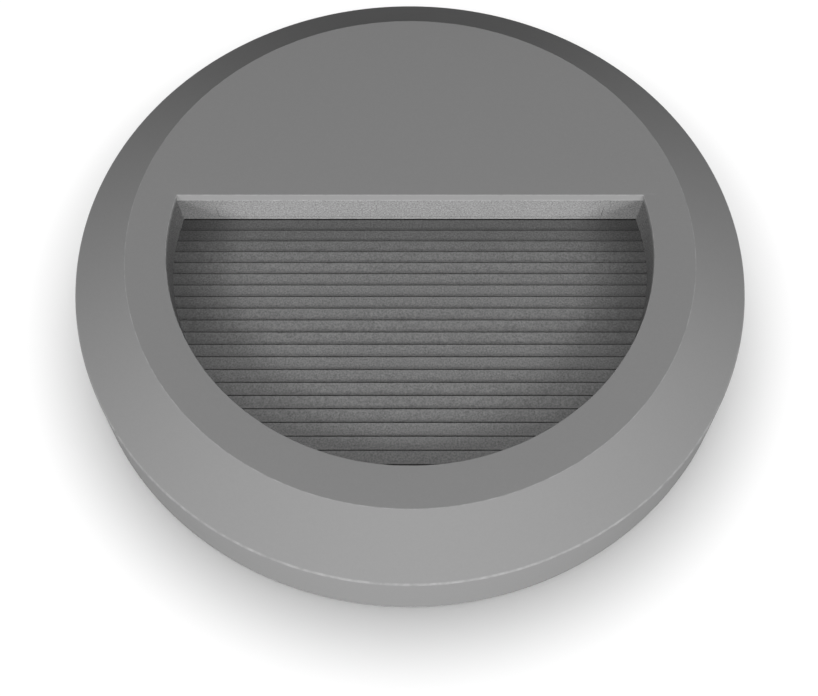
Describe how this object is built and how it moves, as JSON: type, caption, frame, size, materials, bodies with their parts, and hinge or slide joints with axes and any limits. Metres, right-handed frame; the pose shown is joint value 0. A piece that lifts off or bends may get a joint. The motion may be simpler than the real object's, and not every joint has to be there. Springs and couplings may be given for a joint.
{
  "type": "surface mounted led light",
  "caption": "Round grey surface mounted LED light with a conical rim and a D-shaped recess whose hidden strip of LEDs shines over a ribbed floor.",
  "frame": {"origin": "centre of the round mounting face, which lies against the wall or, in the picture, on the floor", "axes": "+Z out of the wall through the front face, +Y towards the recess's straight edge, which is uppermost on a wall, +X to the right"},
  "size_m": [0.125, 0.125, 0.018],
  "materials": {
    "grey_paint": "fine matt grey powder coat",
    "frosted_window": "frosted diffuser, unlit",
    "silicone": "matt dark silicone",
    "white_mask": "white solder mask on aluminium",
    "green_mask": "green solder mask",
    "led_phosphor": "yellow phosphor in a white package",
    "bare_aluminium": "mill finish",
    "zinc_steel": "zinc plated",
    "film": "insulating film",
    "black_plastic": "black moulding",
    "white_plastic": "white moulding",
    "blue_coat": "dipped blue coating",
    "ferrite": "sintered ferrite",
    "brass": "plain",
    "brown_lead": "wire insulation",
    "blue_lead": "wire insulation",
    "green_lead": "wire insulation",
    "red_lead": "wire insulation",
    "black_lead": "wire insulation"
  },
  "bodies": {
    "wall_bracket": {"wall_bracket": "zinc_steel"},
    "lamp": {"back_plate": "bare_aluminium", "back_plate_screw_1": "zinc_steel", "back_plate_screw_2": "zinc_steel", "back_plate_screw_3": "zinc_steel", "back_plate_screw_4": "zinc_steel", "back_plate_seal": "silicone", "bridge_rectifier": "black_plastic", "cable_gland": "silicone", "carrier_screw_left": "zinc_steel", "carrier_screw_right": "zinc_steel", "driver_board": "green_mask", "driver_chip": "black_plastic", "driver_screw_1": "zinc_steel", "driver_screw_2": "zinc_steel", "earth_lead": "green_lead", "earth_screw": "zinc_steel", "earth_tag": "brass", "front_housing": "grey_paint", "fuse_resistor": "blue_coat", "input_capacitor": "black_plastic", "insulating_sheet": "film", "led_board": "white_mask", "led_board_screw_left": "zinc_steel", "led_board_screw_right": "zinc_steel", "led_carrier": "bare_aluminium", "led_lead_negative": "black_lead", "led_lead_positive": "red_lead", "led_package_1": "led_phosphor", "led_package_2": "led_phosphor", "led_package_3": "led_phosphor", "led_package_4": "led_phosphor", "led_package_5": "led_phosphor", "led_package_6": "led_phosphor", "led_package_7": "led_phosphor", "led_package_8": "led_phosphor", "light_window": "frosted_window", "live_lead": "brown_lead", "neutral_lead": "blue_lead", "output_capacitor": "black_plastic", "power_inductor": "ferrite", "terminal_block": "white_plastic", "terminal_screw_1": "brass", "terminal_screw_2": "brass", "terminal_screw_3": "brass", "varistor": "blue_coat", "window_seal": "silicone"},
    "grub_left": {"grub_screw_left": "zinc_steel"},
    "grub_right": {"grub_screw_right": "zinc_steel"}
  },
  "joints": [
    {"name": "lamp_lift", "type": "slide", "parent": "wall_bracket", "child": "lamp", "axis": [0, 0, 1], "range_m": [0, 0.03]},
    {"name": "grub_left_back_out", "type": "slide", "parent": "lamp", "child": "grub_left", "axis": [-1, 0, 0], "range_m": [0, 0.003]},
    {"name": "grub_right_back_out", "type": "slide", "parent": "lamp", "child": "grub_right", "axis": [1, 0, 0], "range_m": [0, 0.003]}
  ]
}
